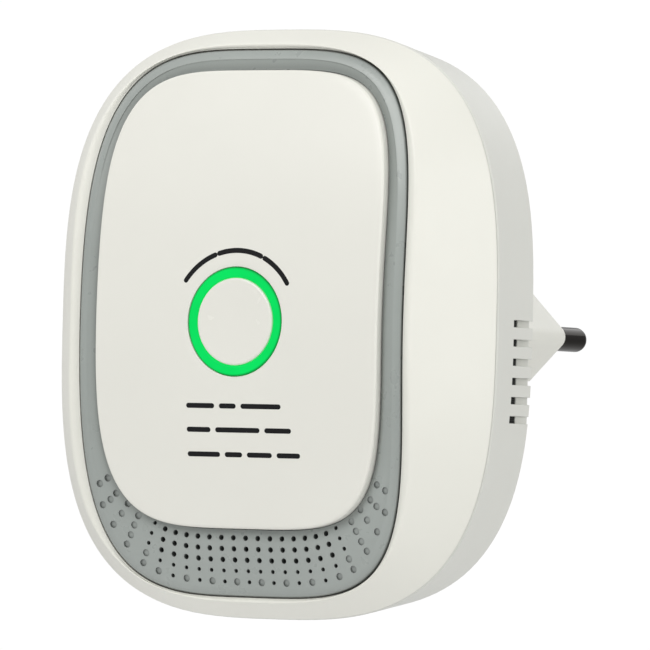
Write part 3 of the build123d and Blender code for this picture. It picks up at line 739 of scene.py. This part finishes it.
# ---- dark cloth sheet behind the side slots: painted shade that darkens their insides ----
SHADE_SHEET_X = (38.25, 38.6)
SHADE_SHEET_DEPTH = (18.1, 22.6)
SHADE_SHEET_Z = (-16.0, 2.2)
shade_strips = []
for side in (-1, 1):
    corners = [(side * SHADE_SHEET_X[0], SHADE_SHEET_Z[0]), (side * SHADE_SHEET_X[1], SHADE_SHEET_Z[0])]
    corners += [(side * SHADE_SHEET_X[1], SHADE_SHEET_Z[1]), (side * SHADE_SHEET_X[0], SHADE_SHEET_Z[1])]
    shade_strips.append(prism(corners, [SHADE_SHEET_DEPTH[0]] * 4, [SHADE_SHEET_DEPTH[1]] * 4))
# the dark sheet stands in for the shade inside the slots
new_piece("slot_shade_sheet", *gather(shade_strips), mesh_cloth, "housing", "mesh_cloth")

# ---- floor, light and camera ----
FLOOR_Z = -0.45
FLOOR_HALF = 8
floor_corners = [(x * FLOOR_HALF, y * FLOOR_HALF, FLOOR_Z) for x, y in ((-1, -1), (1, -1), (1, 1), (-1, 1))]
floor_mesh = bpy.data.meshes.new("floor")
floor_mesh.from_pydata(floor_corners, [], [(0, 1, 2, 3)])
floor = bpy.data.objects.new("floor", floor_mesh)
bpy.context.scene.collection.objects.link(floor)
floor_paint, tree, shader = new_material("floor_paint")
floor_tone = ramp(tree, noise(tree, 3, 2), (0.93, 0.93, 0.93), (0.96, 0.96, 0.96))
tree.links.new(floor_tone, shader.inputs["Base Color"])
shader.inputs["Roughness"].default_value = 0.9
shader.inputs["Specular IOR Level"].default_value = 0.1
seen = tree.nodes.new("ShaderNodeLightPath")
glow = tree.nodes.new("ShaderNodeMapRange")
glow.inputs["To Max"].default_value = 0.4
tree.links.new(seen.outputs["Is Camera Ray"], glow.inputs["Value"])
tree.links.new(glow.outputs["Result"], shader.inputs["Emission Strength"])
floor_mesh.materials.append(floor_paint)

world = bpy.data.worlds.new("studio")
bpy.context.scene.world = world
world.use_nodes = True
sky = world.node_tree
background = sky.nodes["Background"]
background.inputs["Color"].default_value = (1.0, 1.0, 1.0, 1)
path = sky.nodes.new("ShaderNodeLightPath")
level = sky.nodes.new("ShaderNodeMapRange")
level.inputs["To Min"].default_value = 0.5
level.inputs["To Max"].default_value = 1.02
sky.links.new(path.outputs["Is Camera Ray"], level.inputs["Value"])
sky.links.new(level.outputs["Result"], background.inputs["Strength"])

middle = (cad_box[0] + cad_box[1]) / 2


def softbox(name, azimuth, elevation, distance, size, power, colour):
    """A square area light aimed at the object."""
    lamp = bpy.data.lights.new(name, "AREA")
    lamp.shape = "RECTANGLE"
    lamp.size, lamp.size_y = size
    lamp.energy = power
    lamp.color = colour
    a, e = math.radians(azimuth), math.radians(elevation)
    away = Vector((math.sin(a) * math.cos(e), -math.cos(a) * math.cos(e), math.sin(e)))
    light = bpy.data.objects.new(name, lamp)
    light.location = middle + away * distance
    light.rotation_mode = "QUATERNION"
    light.rotation_quaternion = (-away).to_track_quat("-Z", "Y")
    bpy.context.scene.collection.objects.link(light)


WARM = (1.0, 0.995, 0.97)
WHITE = (1, 1, 1)
LIGHTS = [
    ("key_front", -10, 34, 0.9, (0.6, 0.45), 3.0, WARM),
    ("side_right", 84, 12, 0.9, (0.6, 0.6), 2.2, WARM),
    ("top_fill", 40, 70, 0.9, (0.8, 0.8), 1.0, WHITE),
    ("back_light", 170, 35, 1.0, (0.8, 0.6), 1.5, WHITE),
    ("left_fill", -92, 38, 0.9, (0.8, 0.8), 1.6, WHITE),
    ("shoulder_right", 50, 10, 0.9, (0.25, 0.6), 0.45, WHITE),
    ("low_fill", -20, -30, 0.9, (0.6, 0.5), 0.25, WHITE),
]
for light in LIGHTS:
    softbox(*light)

CAMERA_TURN = (30.641, -1.2052, 1.444)
CAMERA_AIM = (0.0059, 0.01827, 0.00008)
CAMERA_DISTANCE = 1.218
CAMERA_LENS = 421.2
CAMERA_SENSOR = 36
camera_data = bpy.data.cameras.new("camera")
camera = bpy.data.objects.new("camera", camera_data)
bpy.context.scene.collection.objects.link(camera)
azimuth, elevation, roll = (math.radians(turn) for turn in CAMERA_TURN)
target = CENTRE + Vector(CAMERA_AIM)
level_share = math.cos(elevation)
back = Vector((math.sin(azimuth) * level_share, -math.cos(azimuth) * level_share, math.sin(elevation)))
right = (-back).cross(Vector((0, 0, 1))).normalized()
up = right.cross(-back)
tilted = right * math.cos(roll) + up * math.sin(roll)
upright = up * math.cos(roll) - right * math.sin(roll)
turned = Matrix((tilted, upright, back)).transposed().to_4x4()
camera.matrix_world = Matrix.Translation(target + back * CAMERA_DISTANCE) @ turned
camera_data.sensor_width = CAMERA_SENSOR
camera_data.lens = CAMERA_LENS
camera_data.clip_start = 0.05
camera_data.clip_end = 30
bpy.context.scene.camera = camera
bpy.context.scene.view_settings.view_transform = "Standard"
